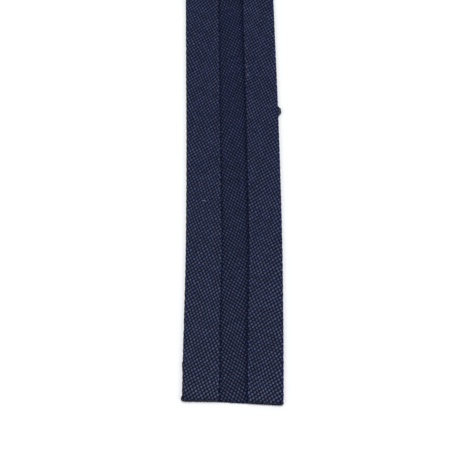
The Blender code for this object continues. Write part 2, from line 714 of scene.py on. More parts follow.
    def _yarn_light(self, at: WeavePlace) -> bpy.types.Node:
        """Gives each thread and each crossing its own lightness.

        Args:
            at: Where the point lies.

        Returns:
            The node whose value is the share of the colour's light.
        """
        tree = at.tree
        family = {0: at.warp_over, 4: (0.0, 1.0, 0.0), 5: (1.0, 0.0, 0.0)}
        picked = add_node(tree, MIX, family, data_type="VECTOR")
        thread = add_node(tree, VECTOR, {0: at.crossing, 1: picked}, operation="MULTIPLY")
        by_thread = add_node(tree, WHITE_NOISE, {"Vector": thread}, noise_dimensions="2D")
        tone, own = self.thread_tone, self.crossing_tone
        painted_light_and_cut_ends = add_node(tree, SCALE_TO, {0: by_thread, 3: 1 - tone, 4: 1 + tone})
        own_light = add_node(tree, SCALE_TO, {0: at.chance, 3: 1 - own, 4: 1 + own})
        return add_node(tree, MATH, {0: painted_light_and_cut_ends, 1: own_light}, operation="MULTIPLY")

    def _fibres(self, at: WeavePlace) -> bpy.types.Node:
        """Lays fibres along each thread with a little twist, a dozen side by side.

        Args:
            at: Where the point lies.

        Returns:
            The noise node of the fibres.
        """
        tree = at.tree
        across, twist, along = self.fibres_across, self.fibre_twist, self.fibres_along
        ways = {0: at.warp_over, 4: (twist, across, 0.0), 5: (across, twist, 0.0)}
        width_way = add_node(tree, MIX, ways, data_type="VECTOR")
        runs = {0: at.warp_over, 4: (along, 0.0, 0.0), 5: (0.0, along, 0.0)}
        length_way = add_node(tree, MIX, runs, data_type="VECTOR")
        beside = add_node(tree, VECTOR, {0: at.offset, 1: width_way}, operation="DOT_PRODUCT")
        onward = add_node(tree, VECTOR, {0: at.offset, 1: length_way}, operation="DOT_PRODUCT")
        apart = add_node(tree, MATH, {0: at.chance, 1: self.fibre_apart}, operation="MULTIPLY")
        strand = add_node(tree, "ShaderNodeCombineXYZ", {0: beside, 1: onward, 2: apart})
        return add_node(tree, NOISE, {"Vector": strand, "Scale": 1.0, "Detail": 2.0})

    def _colour(
        self, at: WeavePlace, thread_top: bpy.types.Node, fibres: bpy.types.Node
    ) -> bpy.types.Node:
        """Dyes the threads and their hollows.

        Args:
            at: Where the point lies.
            thread_top: The light top of the upper thread.
            fibres: The noise of the fibres.

        Returns:
            The node that gives the cloth's colour.
        """
        tree, tone = at.tree, self.fibre_tone
        streak = {0: fibres, 1: self.fibre_low, 2: self.fibre_high, 3: 1 - tone, 4: 1 + tone}
        fibre_light = add_node(tree, SCALE_TO, streak)
        lights = {0: self._yarn_light(at), 1: fibre_light}
        light = add_node(tree, MATH, lights, operation="MULTIPLY")
        # The painted light and shade from the mesh scales the threads' colour
        share = {0: at.painted_light_with_cuts.outputs["Color"], "Scale": light}
        painted_and_cut_share = add_node(tree, VECTOR, share, operation="SCALE")
        # The weft tops carry a painted highlight over the warp's colour
        yarns = {0: at.warp_over, 6: linear(self.weft), 7: linear(self.warp)}
        yarn = add_node(tree, MIX, yarns, data_type="RGBA")
        lit = add_node(tree, VECTOR, {0: yarn, 1: painted_and_cut_share}, operation="MULTIPLY")
        # Painted shade fills the hollows between threads
        depths = {0: thread_top, 6: linear(self.hollow), 7: lit}
        cloth = add_node(tree, MIX, depths, data_type="RGBA")

        place = add_node(tree, PLACE).outputs["Object"]
        patch = {"Vector": place, "Scale": 1 / (self.patch_mm * MM), "Detail": 2.0}
        patches = add_node(tree, NOISE, patch)
        spread = add_node(tree, SCALE_TO, {0: patches, 1: NOISE_LOW, 2: NOISE_HIGH})
        tints = {0: spread, 6: linear(self.cool), 7: linear(self.warm)}
        tint = add_node(tree, MIX, tints, data_type="RGBA")
        return add_node(tree, VECTOR, {0: cloth, 1: tint}, operation="MULTIPLY")

    def _roughness(
        self, at: WeavePlace, thread_top: bpy.types.Node, fibres: bpy.types.Node
    ) -> bpy.types.Node:
        """Rubs the tops of the weft smooth, fibre by fibre, and leaves the rest dull.

        Args:
            at: Where the point lies.
            thread_top: The light top of the upper thread.
            fibres: The noise of the fibres.

        Returns:
            The node that gives the cloth's roughness.
        """
        tree = at.tree
        fibre_range = {0: fibres, 1: self.fibre_low, 2: self.fibre_high}
        rubbing = {**fibre_range, 3: self.rough_fibre, 4: self.smooth_fibre}
        weft_rough = add_node(tree, SCALE_TO, rubbing)
        top_rough = add_node(tree, MIX, {0: at.warp_over, 2: weft_rough, 3: self.rough_warp})
        open_top = {0: thread_top, 1: at.painted_light_with_cuts.outputs["Fac"]}
        rubbed = add_node(tree, MATH, open_top, operation="MULTIPLY")
        polish = {0: rubbed, 1: self.polish_low, 2: self.polish_high}
        polished = add_node(tree, SCALE_TO, polish)
        return add_node(tree, MIX, {0: polished, 2: self.rough_hollow, 3: top_rough})

    def build(self) -> bpy.types.Material:
        """Builds the material.

        Returns:
            The finished material, which needs the weave's UV map and the painted light and shade
            on the mesh.
        """
        material = new_material(self.name)
        tree = material.node_tree
        at = self._locate(tree)
        thread_top = self._thread_top(at)
        fibres = self._fibres(at)
        relief = {
            "Strength": self.bump_strength,
            "Distance": self.bump_mm * MM,
            "Height": fibres,
        }
        cotton = {
            "Base Color": self._colour(at, thread_top, fibres),
            "Roughness": self._roughness(at, thread_top, fibres),
            "Specular IOR Level": self.specular,
            "Normal": add_node(tree, BUMP, relief),
        }
        shader = add_node(tree, SHADER, cotton)
        add_node(tree, OUTPUT, {0: shader})
        return material


@dataclass(frozen=True)
class YarnFibre:
    """Loose, cut or open cotton fibre, dull and flecked, because most of it drinks the light.

    Attributes:
        name: The material's name.
        dark: Colour deep among the fibres.
        pale: Colour of the fibres that catch the light.
        fleck_mm: Size of the flecks between the two.
        roughness: Roughness, high for open fibre.
        specular: Strength of the gloss, low for cotton.
        bump_strength: Strength of the flecks' relief.
        bump_mm: Depth of the flecks' relief.
    """

    name: str
    dark: str
    pale: str
    fleck_mm: float = 0.12
    roughness: float = 0.9
    specular: float = 0.08
    bump_strength: float = 0.4
    bump_mm: float = 0.03

    def build(self) -> bpy.types.Material:
        """Builds the material, flecked at the scale of a thread's fibres.

        Returns:
            The finished material.
        """
        material = new_material(self.name)
        tree = material.node_tree
        place = add_node(tree, PLACE).outputs["Object"]
        fleck = {"Vector": place, "Scale": 1 / (self.fleck_mm * MM), "Detail": 1.0}
        grain = add_node(tree, NOISE, fleck)
        spread = add_node(tree, SCALE_TO, {0: grain, 1: NOISE_LOW, 2: NOISE_HIGH})
        tones = {0: spread, 6: linear(self.dark), 7: linear(self.pale)}
        relief = {"Strength": self.bump_strength, "Distance": self.bump_mm * MM, "Height": grain}
        fibre = {
            "Base Color": add_node(tree, MIX, tones, data_type="RGBA"),
            "Roughness": self.roughness,
            "Specular IOR Level": self.specular,
            "Normal": add_node(tree, BUMP, relief),
        }
        shader = add_node(tree, SHADER, fibre)
        add_node(tree, OUTPUT, {0: shader})
        return material


# The right side faces out on the turned-in edges. The wrong side, in the channel, is darker
RIGHT_SIDE = DyedCotton("navy_cotton_right_side")
WRONG_SIDE = DyedCotton("navy_cotton_wrong_side", weft="2B344E", warp="0A1231")
# Cut threads show their dull ends, the slub is a greener yarn, and lint is pale house dust
CUT_FACE = YarnFibre("navy_cotton_cut", "23262F", "3E424C")
YARN_END = YarnFibre("navy_yarn_ends", "272B34", "484D59", fleck_mm=0.2)
SLUB_YARN = YarnFibre("navy_slub_yarn", "1C2430", "3E4A58", fleck_mm=0.25)
PALE_LINT = YarnFibre("pale_lint", "555B70", "848BA2", fleck_mm=0.3)


def new_geometry_tree(
    name: str, inputs: dict[str, float | int]
) -> tuple[bpy.types.NodeTree, bpy.types.Node]:
    """Starts a Geometry Nodes tree with named inputs and a material input.

    Args:
        name: The tree's name.
        inputs: Each input's name and value. A whole number makes a whole-number input.

    Returns:
        The tree and its group input node.
    """
    tree = bpy.data.node_groups.new(name, "GeometryNodeTree")
    tree.interface.new_socket("Geometry", in_out="INPUT", socket_type="NodeSocketGeometry")
    for title, value in inputs.items():
        kind = "NodeSocketInt" if isinstance(value, int) else "NodeSocketFloat"
        tree.interface.new_socket(title, in_out="INPUT", socket_type=kind)
    tree.interface.new_socket(MATERIAL_INPUT, in_out="INPUT", socket_type="NodeSocketMaterial")
    tree.interface.new_socket("Geometry", in_out="OUTPUT", socket_type="NodeSocketGeometry")
    return tree, add_node(tree, "NodeGroupInput")


def close_geometry_tree(
    tree: bpy.types.NodeTree, given: bpy.types.Node, shape: bpy.types.Node
) -> None:
    """Ends a Geometry Nodes tree in real, smooth geometry with its material.

    Args:
        tree: The tree.
        given: Its group input node.
        shape: The node that gives the shape.
    """
    real = add_node(tree, "GeometryNodeRealizeInstances", {0: shape})
    smooth = add_node(tree, "GeometryNodeSetShadeSmooth", {0: real})
    finish = {"Geometry": smooth, "Material": given.outputs[MATERIAL_INPUT]}
    dressed = add_node(tree, "GeometryNodeSetMaterial", finish)
    add_node(tree, "NodeGroupOutput", {0: dressed})


def run_tree(
    name: str, source: bpy.types.Mesh, tree: bpy.types.NodeTree, inputs: dict[str, object]
) -> bpy.types.Object:
    """Runs a Geometry Nodes tree on a mesh and keeps the result as a plain mesh object.

    Args:
        name: Name of the piece.
        source: The points or edges that the tree starts from.
        tree: The tree.
        inputs: Each named input's value.

    Returns:
        The new object, with no modifier on it.
    """
    helper = bpy.data.objects.new(name + "_helper", source)
    bpy.context.scene.collection.objects.link(helper)
    modifier = helper.modifiers.new(name, "NODES")
    modifier.node_group = tree
    for title, value in inputs.items():
        modifier[tree.interface.items_tree[title].identifier] = value
    graph = bpy.context.evaluated_depsgraph_get()
    mesh = bpy.data.meshes.new_from_object(helper.evaluated_get(graph))
    bpy.data.objects.remove(helper)
    mesh.name = name
    return link_piece(name, mesh)


@dataclass(frozen=True)
class FibreTufts:
    """Fibres that stand out of thread ends, grown by Geometry Nodes.

    Attributes:
        name: Name of the piece.
        per_end: Fibres that grow from each place.
        shortest: Length of the shortest fibre.
        longest: Length of the longest fibre.
        radius: Radius of the longest fibre at its root. Real fibres are finer, at 0.01, and
            are drawn as coarse as they need to show.
        tip_share: Radius at the tip, as a share of that at the root.
        bend: How far a fibre bends to the side, as a share of its length.
        bend_at: How far up the fibre its bend is, as a share of its length.
        stray: How far fibres stray from the thread's own way.
        stray_low: The furthest that a fibre strays one way, most to the sides.
        stray_high: The furthest that it strays the other way, more up than down.
        sides: Sides of a fibre's section.
        pieces: Straight pieces in a fibre.
        seed: Fixed seed of the fibres' lengths and ways.
    """

    name: str
    per_end: int = 3
    shortest: float = 0.10
    longest: float = 0.28
    radius: float = 0.016
    tip_share: float = 0.35
    bend: float = 0.35
    bend_at: float = 0.6
    stray: float = 0.45
    stray_low: Triple = (-1.0, -1.0, -0.4)
    stray_high: Triple = (1.0, 1.0, 0.8)
    sides: int = 3
    pieces: int = 3
    seed: int = 3

    def _inputs(self) -> dict[str, float | int]:
        """Named inputs of the tree, with sizes in metres."""
        return {
            "Fibres per End": self.per_end,
            "Shortest": self.shortest * MM,
            "Longest": self.longest * MM,
            "Fibre Radius": self.radius / self.longest,
            "Bend": self.bend,
            "Stray": self.stray,
            "Seed": self.seed,
        }

    def _rotation(self, tree: bpy.types.NodeTree, given: bpy.types.Node) -> bpy.types.Node:
        """Aims each fibre along its thread, lets it stray, and rolls it.

        Args:
            tree: The tree.
            given: Its group input node.

        Returns:
            The node that gives each fibre's rotation.
        """
        seed = given.outputs["Seed"]
        strays = {0: self.stray_low, 1: self.stray_high, "Seed": seed}
        side = add_node(tree, RANDOM, strays, data_type="FLOAT_VECTOR")
        scaled = {0: side, "Scale": given.outputs["Stray"]}
        stray = add_node(tree, VECTOR, scaled, operation="SCALE")
        named = {"Name": AIM_MAP}
        aim = add_node(tree, "GeometryNodeInputNamedAttribute", named, data_type="FLOAT_VECTOR")
        way = add_node(tree, VECTOR, {0: aim, 1: stray}, operation="ADD")
        turned = add_node(tree, "FunctionNodeAlignRotationToVector", {"Vector": way}, axis="Z")
        angles = {2: 0.0, 3: 2 * math.pi, "Seed": seed}
        angle = add_node(tree, RANDOM, angles, data_type="FLOAT")
        spin = {"Axis": (0.0, 0.0, 1.0), "Angle": angle}
        rolled = add_node(tree, "FunctionNodeAxisAngleToRotation", spin)
        turns = {"Rotation": turned, "Rotate By": rolled}
        return add_node(tree, "FunctionNodeRotateRotation", turns, rotation_space="LOCAL")

    def _fibre(self, tree: bpy.types.NodeTree, given: bpy.types.Node) -> bpy.types.Node:
        """Makes one bent, tapered fibre of unit length.

        Args:
            tree: The tree.
            given: Its group input node.

        Returns:
            The node that gives the fibre's mesh.
        """
        line = {
            "Resolution": self.pieces,
            "Start": (0.0, 0.0, 0.0),
            "Middle": (0.0, 0.0, self.bend_at),
            "End": add_node(tree, "ShaderNodeCombineXYZ", {0: given.outputs["Bend"], 2: 1.0}),
        }
        curve = add_node(tree, "GeometryNodeCurveQuadraticBezier", line)
        circle = {"Resolution": self.sides, "Radius": given.outputs["Fibre Radius"]}
        ring = add_node(tree, "GeometryNodeCurvePrimitiveCircle", circle)
        share = add_node(tree, "GeometryNodeSplineParameter").outputs["Factor"]
        taper = add_node(tree, SCALE_TO, {0: share, 3: 1.0, 4: self.tip_share})
        tube = {"Curve": curve, "Profile Curve": ring, "Scale": taper, "Fill Caps": True}
        return add_node(tree, "GeometryNodeCurveToMesh", tube)

    def tree(self) -> bpy.types.NodeTree:
        """Builds the tree, which turns points with an aim to fibres.

        Returns:
            The tree.
        """
        tree, given = new_geometry_tree(self.name + "_tree", self._inputs())
        amount = {"Geometry": given.outputs["Geometry"], "Amount": given.outputs["Fibres per End"]}
        roots = add_node(tree, "GeometryNodeDuplicateElements", amount, domain="POINT")
        rotation = self._rotation(tree, given)
        shortest, longest = given.outputs["Shortest"], given.outputs["Longest"]
        lengths = {2: shortest, 3: longest, "Seed": given.outputs["Seed"]}
        length = add_node(tree, RANDOM, lengths, data_type="FLOAT")
        fibre = self._fibre(tree, given)
        grown = {"Points": roots, "Instance": fibre, "Rotation": rotation, "Scale": length}
        tufts = add_node(tree, "GeometryNodeInstanceOnPoints", grown)
        close_geometry_tree(tree, given, tufts)
        return tree

    def grow(self, roots: np.ndarray, aims: np.ndarray, finish: YarnFibre) -> bpy.types.Object:
        """Grows the fibres.

        Args:
            roots: Where fibres grow from, in metres.
            aims: The way each end points.
            finish: What the fibres are made of.

        Returns:
            The plain mesh object of all the fibres.
        """
        mesh = bpy.data.meshes.new(self.name + "_roots")
        mesh.from_pydata(roots.tolist(), [], [])
        aim = mesh.attributes.new(AIM_MAP, "FLOAT_VECTOR", "POINT")
        aim.data.foreach_set("vector", aims.astype(np.float32).ravel())
        inputs = {**self._inputs(), MATERIAL_INPUT: finish.build()}
        return run_tree(self.name, mesh, self.tree(), inputs)


@dataclass(frozen=True)
class WoundYarn:
    """A flat two-ply yarn, or one fibre, wound along a path by Geometry Nodes.

    Attributes:
        name: Name of the piece.
        thickest: Radius in the middle of its length.
        turns: Turns of twist from end to end.
        flatness: Thickness of its section as a share of its width.
        swell_power: How the radius grows from the ends. Less is fuller.
        least_swell: What is left of that at the very ends.
        lump_mm: Size of the lumps in it.
        lump_depth: How far the lumps stand out.
        count: Points along it.
        sides: Sides of its section.
        seed: Fixed seed of the lumps.
    """

    name: str
    thickest: float
    turns: float = 0.0
    flatness: float = 1.0
    swell_power: float = 0.75
    least_swell: float = 0.04
    lump_mm: float = 0.35
    lump_depth: float = 0.0
    count: int = 12
    sides: int = 6
    seed: int = 4

    def _inputs(self) -> dict[str, float | int]:
        """Named inputs of the tree, with sizes in metres."""
        return {
            "Thickest": self.thickest * MM,
            "Turns": self.turns,
            "Flatness": self.flatness,
            "Lump Scale": 1 / (self.lump_mm * MM),
            "Lump Depth": self.lump_depth * MM,
            "Seed": self.seed,
        }

    def _yarn(self, tree: bpy.types.NodeTree, given: bpy.types.Node) -> bpy.types.Node:
        """Winds a twisted section along each line of points, thin at both ends.

        Args:
            tree: The tree.
            given: Its group input node.

        Returns:
            The node that gives the yarn's mesh.
        """
        line = add_node(tree, "GeometryNodeMeshToCurve", {0: given.outputs["Geometry"]})
        bent = add_node(tree, "GeometryNodeCurveSplineType", {0: line}, spline_type="CATMULL_ROM")
        fine = add_node(tree, "GeometryNodeResampleCurve", {"Curve": bent, "Count": self.count})
        share = add_node(tree, "GeometryNodeSplineParameter").outputs["Factor"]
        twist = {0: given.outputs["Turns"], 1: 2 * math.pi}
        whole_turn = add_node(tree, MATH, twist, operation="MULTIPLY")
        tilt = add_node(tree, MATH, {0: share, 1: whole_turn}, operation="MULTIPLY")
        twisted = add_node(tree, "GeometryNodeSetCurveTilt", {"Curve": fine, "Tilt": tilt})

        wave = add_node(tree, MATH, {0: share, 1: math.pi}, operation="MULTIPLY")
        arch = add_node(tree, MATH, {0: wave}, operation="SINE")
        held = add_node(tree, MATH, {0: arch, 1: self.least_swell}, operation="MAXIMUM")
        swell = add_node(tree, MATH, {0: held, 1: self.swell_power}, operation="POWER")
        circle = {"Resolution": self.sides, "Radius": given.outputs["Thickest"]}
        ring = add_node(tree, "GeometryNodeCurvePrimitiveCircle", circle)
        flattening = {0: 1.0, 1: given.outputs["Flatness"], 2: 1.0}
        flat = add_node(tree, "ShaderNodeCombineXYZ", flattening)
        section = add_node(tree, "GeometryNodeTransform", {"Geometry": ring, "Scale": flat})
        tube = {"Curve": twisted, "Profile Curve": section, "Scale": swell, "Fill Caps": True}
        return add_node(tree, "GeometryNodeCurveToMesh", tube)

    def tree(self) -> bpy.types.NodeTree:
        """Builds the tree, which winds the yarn and gives it its lumps.

        Returns:
            The tree.
        """
        tree, given = new_geometry_tree(self.name + "_tree", self._inputs())
        yarn = self._yarn(tree, given)
        lump = {"W": given.outputs["Seed"], "Scale": given.outputs["Lump Scale"], "Detail": 1.0}
        noise = add_node(tree, NOISE, lump, noise_dimensions="4D")
        rise = add_node(tree, MATH, {0: noise, 1: NOISE_MIDDLE}, operation="SUBTRACT")
        deep = {0: rise, 1: given.outputs["Lump Depth"]}
        height = add_node(tree, MATH, deep, operation="MULTIPLY")
        out = add_node(tree, "GeometryNodeInputNormal")
        push = add_node(tree, VECTOR, {0: out, "Scale": height}, operation="SCALE")
        lumpy = add_node(tree, "GeometryNodeSetPosition", {"Geometry": yarn, "Offset": push})
        close_geometry_tree(tree, given, lumpy)
        return tree

    def wind(self, paths: list[np.ndarray], finish: YarnFibre) -> bpy.types.Object:
        """Winds the yarn along each path.

        Args:
            paths: Rows of x, y and z along each path, in metres.
            finish: What the yarn is made of.

        Returns:
            The plain mesh object of all the yarns.
        """
        points = np.vstack(paths)
        last = np.cumsum([len(path) for path in paths]) - 1
        joints = [(place, place + 1) for place in range(len(points)) if place not in last]
        mesh = bpy.data.meshes.new(self.name + "_path")
        mesh.from_pydata(points.tolist(), joints, [])
        inputs = {**self._inputs(), MATERIAL_INPUT: finish.build()}
        return run_tree(self.name, mesh, self.tree(), inputs)


@dataclass(frozen=True)
class TapeCloth:
    """The whole strip of cloth as one closed sheet, with its weave in its surface.

    The right side carries every thread crossing. The wrong side does so where it shows, in
    the channel between the turned-in edges, and is plain where it lies inside the folds.

    Attributes:
        weave: The plain weave.
        route: The way the strip lies.
        shift: What turns the photographed plan to the frame, across and along.
        edge_step: Distance between points of the outline.
        edge_clear: How far inside the outline the first crossings lie.
        edge_jitter: How far points of the outline lie off their even places.
        scallop: How far the outline bulges where a thread ends.
        channel_half: Half width of the part of the wrong side that has its weave.
        hidden_step: Distance between points inside the folds.
        hidden_clear: How far short of a fold those points stop.
        hidden_reach: How far past a fold they go.
        fold_steps: Steps of the wrong side round a fold.
        crown_share: Place on a fold where the painted highlight is strongest, and where the
            fold darkens near the cut ends.
        fold_highlight: Painted highlight along a fold.
        fold_highlight_half: Half width of that painted highlight.
        lip_highlight: Painted highlight of lit loose threads at a raw edge.
        lip_width: Width of that lip.
        lip_near_gain: How much lighter the lip is at the cut.
        lip_near_reach: How far from the cut that reaches.
        channel_shadow: Red, green and blue that the painted shadow beside a raw edge takes away.
        left_shadow_width: Width of the left painted shadow.
        right_shadow_width: Width of the right painted shadow.
        cut_loss: Red, green and blue lost where cross threads have slipped off the cut.
        cut_bare_left: How far that reaches from the cut, on the left.
        cut_bare_right: How far it reaches on the right.
        corner_loss: Share of the colour taken off at each fold near the cut ends.
        corner_reach: Size of that darker place.
        aim_step: How far on the second place lies that gives a cut thread's way.
        seed: Fixed seed of the outline.
    """

    weave: PlainWeave
    route: FoldedRoute
    shift: tuple[float, float]
    edge_step: float = 0.19
    edge_clear: float = 0.10
    edge_jitter: float = 0.025
    scallop: float = 0.05
    channel_half: float = 3.9
    hidden_step: float = 1.6
    hidden_clear: float = 0.4
    hidden_reach: float = 8.0
    fold_steps: int = 8
    crown_share: float = 0.7
    fold_highlight: float = 0.25
    fold_highlight_half: float = 0.45
    lip_highlight: float = 0.22
    lip_width: float = 0.6
    lip_near_gain: float = 2.0
    lip_near_reach: float = 16.0
    channel_shadow: Triple = (0.58, 0.55, 0.38)
    left_shadow_width: float = 0.7
    right_shadow_width: float = 1.2
    cut_loss: Triple = (0.26, 0.28, 0.38)
    cut_bare_left: float = 0.9
    cut_bare_right: float = 0.5
    corner_loss: float = 0.34
    corner_reach: float = 1.7
    aim_step: float = 0.05
    seed: int = 5

    @property
    def frame_shift(self) -> np.ndarray:
        """What turns the photographed plan to the frame, as x, y and z."""
        return np.array([self.shift[0], self.shift[1], 0.0])

    def edge_ring(self) -> np.ndarray:
        """Draws the outline of the flat strip, a little scalloped by its threads.

        Returns:
            Rows of across and along, anticlockwise from the near left corner.
        """
        route = self.route
        rng = np.random.default_rng(self.seed)
        count = round(route.length / self.edge_step)
        along = np.linspace(0, route.length, count + 1)
        left = np.stack([-route.raw_edge(along, Side.LEFT), along], axis=1)
        right = np.stack([route.raw_edge(along, Side.RIGHT), along], axis=1)
        cut = round((right[0, 0] - left[0, 0]) / self.edge_step)
        share = np.linspace(0, 1, cut + 1)[:, None]
        near = left[0] * (1 - share) + right[0] * share
        far = right[-1] * (1 - share) + left[-1] * share
        ring = np.vstack([near[:-1], right[:-1], far[:-1], left[::-1][:-1]])
        numbers = self.weave.to_weave(ring)
        bulge = self.scallop * np.cos(2 * math.pi * numbers)
        sides = np.array([len(near) - 1, len(right) - 1, len(far) - 1, len(left) - 1])
        outward = np.repeat([[0.0, -1.0], [1.0, 0.0], [0.0, 1.0], [-1.0, 0.0]], sides, axis=0)
        family = np.repeat([0, 1, 0, 1], sides)
        ring = ring + outward * bulge[np.arange(len(ring)), family][:, None]
        return ring + rng.uniform(-self.edge_jitter, self.edge_jitter, ring.shape)

    def _inside(self, flat: np.ndarray, half: float = math.inf) -> np.ndarray:
        """Picks the flat places that lie inside the strip, clear of its edges.

        Args:
            flat: Rows of across and along in the flat cloth.
            half: How far from the base's middle a place may lie.

        Returns:
            True for each place that is kept.
        """
        route, clear = self.route, self.edge_clear
        along = flat[:, 1]
        keep = (along > clear) & (along < route.length - clear)
        keep &= flat[:, 0] > clear - route.raw_edge(along, Side.LEFT)
        keep &= flat[:, 0] < route.raw_edge(along, Side.RIGHT) - clear
        return keep & (np.abs(flat[:, 0]) < half)

    def _hidden_places(self) -> np.ndarray:
        """Lays out the plain cloth inside the folds, row by row.

        Returns:
            Rows of across and along in the flat cloth.
        """
        route, step = self.route, self.hidden_step
        fold = route.base_half + route.fold_length * np.linspace(0, 1, self.fold_steps + 1)
        base = np.arange(self.channel_half + step / 2, fold[0] - self.hidden_clear, step)
        flap = np.arange(fold[-1] + step / 2, fold[-1] + self.hidden_reach, step)
        half = np.concatenate([base, fold, flap])
        across = np.concatenate([-half[::-1], half])
        along = np.arange(step / 2, route.length, step)
        grid_x, grid_y = np.meshgrid(across, along)
        flat = np.stack([grid_x.ravel(), grid_y.ravel()], axis=1)
        return flat[self._inside(flat)]

    @staticmethod
    def _triangles(ring_count: int, flat: np.ndarray) -> np.ndarray:
        """Joins flat places to triangles inside the ring that comes first.

        Args:
            ring_count: Number of places in the ring.
            flat: Rows of across and along in the flat cloth.

        Returns:
            Rows of three place numbers, anticlockwise.
        """
        points = [Vector(row) for row in flat]
        ring = list(range(ring_count))
        inside_ring, merge_within = 1, 1e-7
        found = delaunay_2d_cdt(points, [], [ring], inside_ring, merge_within)
        origin = np.array([names[0] for names in found[3]])
        corners = origin[np.array(found[2])]
        first, second, third = (flat[corners[:, k]] for k in range(3))
        edge, other = second - first, third - first
        turned = edge[:, 0] * other[:, 1] - edge[:, 1] * other[:, 0] < 0
        corners[turned] = corners[turned][:, ::-1]
        return corners

    def _sheet(self, ring: np.ndarray, face: Face) -> tuple[np.ndarray, np.ndarray, np.ndarray]:
        """Lays out one face of the strip, with its weave where it shows.

        Args:
            ring: The outline in the flat cloth.
            face: The face.

        Returns:
            The face's flat places, the outline first, their places in the weave, and their
            distances from the middle of the cloth.
        """
        weave, route = self.weave, self.route
        crossings = weave.places((ring[:, 0].min(), 0.0), (ring[:, 0].max(), route.length))
        flat = weave.to_flat(crossings[:, 0], crossings[:, 1])
        shows = self._inside(flat, math.inf if face is Face.RIGHT else self.channel_half)
        hidden = self._hidden_places() if face is Face.WRONG else np.empty((0, 2))
        places = np.vstack([weave.to_weave(ring), crossings[shows], weave.to_weave(hidden)])
        rise = weave.height(places[:, 0], places[:, 1], face)
        offset = face.value * (route.cloth / 2 - weave.crown + rise)
        first_hidden = len(places) - len(hidden)
        offset[first_hidden:] = face.value * (route.cloth / 2 - weave.half_thread)
        return np.vstack([ring, flat[shows], hidden]), places, offset

    def _painted_light_and_cut_ends(self, flat: np.ndarray) -> np.ndarray:
        """Says what share of its own light the cloth gives at each flat place.

        A painted highlight lies along the folds, and a painted highlight of lit loose threads
        makes a light lip at the raw edges, most near the cut. A painted shadow darkens the base
        beside them and keeps its blue longest. The folds are darker near the cut ends, and the
        last cross threads have slipped off the cut ends, which leaves dark stubs.

        Args:
            flat: Rows of across and along in the flat cloth.

        Returns:
            Rows of the shares of red, green and blue.
        """
        route = self.route
        across, along = flat[:, 0], flat[:, 1]
        reach = np.abs(across)
        left = across < 0
        crown = route.base_half + self.crown_share * route.fold_length
        # Painted highlight along each fold
        fold = np.exp(-(((reach - crown) / self.fold_highlight_half) ** 2))
        edge = np.where(left, route.raw_edge(along, Side.LEFT), route.raw_edge(along, Side.RIGHT))
        near = 1 - smooth_step(along / self.lip_near_reach)
        # Painted highlight at each raw edge, stronger near the cut
        lip = (1 - smooth_step((edge - reach) / self.lip_width)) * (1 + self.lip_near_gain * near)
        over = 2 * route.base_half + route.fold_length - edge
        # Painted shadow on the base beside each raw edge, which takes less blue than red and green
        edge_shadow_width = np.where(left, self.left_shadow_width, self.right_shadow_width)
        edge_shadow = 1 - smooth_step((over - reach) / edge_shadow_width)
        edge_shadow = np.where(reach < route.base_half, edge_shadow, 0)
        from_end = np.minimum(along, route.length - along)
        bare = np.where(left, self.cut_bare_left, self.cut_bare_right)
        cut = 1 - smooth_step(from_end / bare)
        # Darker at each fold near the cut ends
        corner = 1 - smooth_step(np.hypot(from_end, reach - crown) / self.corner_reach)
        light = 1 + self.fold_highlight * fold + self.lip_highlight * lip
        light = (light * (1 - self.corner_loss * corner))[:, None]
        light = light * (1 - np.array(self.channel_shadow) * edge_shadow[:, None])
        return light * (1 - np.array(self.cut_loss) * cut[:, None])

    def build(self) -> bpy.types.Object:
        """Builds the strip and dresses it.

        Returns:
            The plain mesh object of the strip.
        """
        ring = self.edge_ring()
        right_flat, right_weave, right_offset = self._sheet(ring, Face.RIGHT)
        wrong_flat, wrong_weave, wrong_offset = self._sheet(ring, Face.WRONG)
        flat = np.vstack([right_flat, wrong_flat])
        offset = np.concatenate([right_offset, wrong_offset])
        points = self.route.place(flat, offset) - self.frame_shift

        count, right_count = len(ring), len(right_flat)
        right_faces = self._triangles(count, right_flat)[:, ::-1]
        wrong_faces = self._triangles(count, wrong_flat) + right_count
        here = np.arange(count)
        there = (here + 1) % count
        lower = np.stack([here, there, there + right_count], axis=1)
        upper = np.stack([here, there + right_count, here + right_count], axis=1)
        rim = np.vstack([lower, upper])
        faces = np.vstack([right_faces, wrong_faces, rim])

        mesh = bpy.data.meshes.new(CLOTH)
        mesh.from_pydata((points * MM).tolist(), [], faces.tolist())
        slots = np.repeat([0, 1, 2], [len(right_faces), len(wrong_faces), len(rim)])
        mesh.polygons.foreach_set("material_index", slots.astype(np.int32))
        for finish in (RIGHT_SIDE, WRONG_SIDE, CUT_FACE):
            mesh.materials.append(finish.build())
        # One warp thread further on, so that what is over on the right side is under here
        uv = np.vstack([right_weave, wrong_weave + [1.0, 0.0]])
        layer = mesh.uv_layers.new(name=WEAVE_MAP)
        layer.data.foreach_set("uv", uv[faces.ravel()].astype(np.float32).ravel())
        # Painted light and shade, and the darker cut ends, go on the mesh as a colour attribute
        shares = np.column_stack([self._painted_light_and_cut_ends(flat), np.ones(len(flat))])
        light = mesh.attributes.new(PAINTED_LIGHT_AND_CUT_MAP, "FLOAT_COLOR", "POINT")
        light.data.foreach_set("color", shares.astype(np.float32).ravel())
        mesh.shade_smooth()
        mesh.update()
        return link_piece(CLOTH, mesh)

    def yarn_ends(self) -> bpy.types.Object:
        """Grows short fibres where threads end, at the raw edges and at both cuts.

        Returns:
            The plain mesh object of the fibres.
        """
        ends, aims = self.weave.thread_ends(self.edge_ring())
        roots = self.route.place(ends, 0.0)
        tips = self.route.place(ends + self.aim_step * aims, 0.0)
        way = tips - roots
        way = way / np.linalg.norm(way, axis=1)[:, None]
        tufts = FibreTufts("cut_yarn_ends")
        return tufts.grow((roots - self.frame_shift) * MM, way, YARN_END)


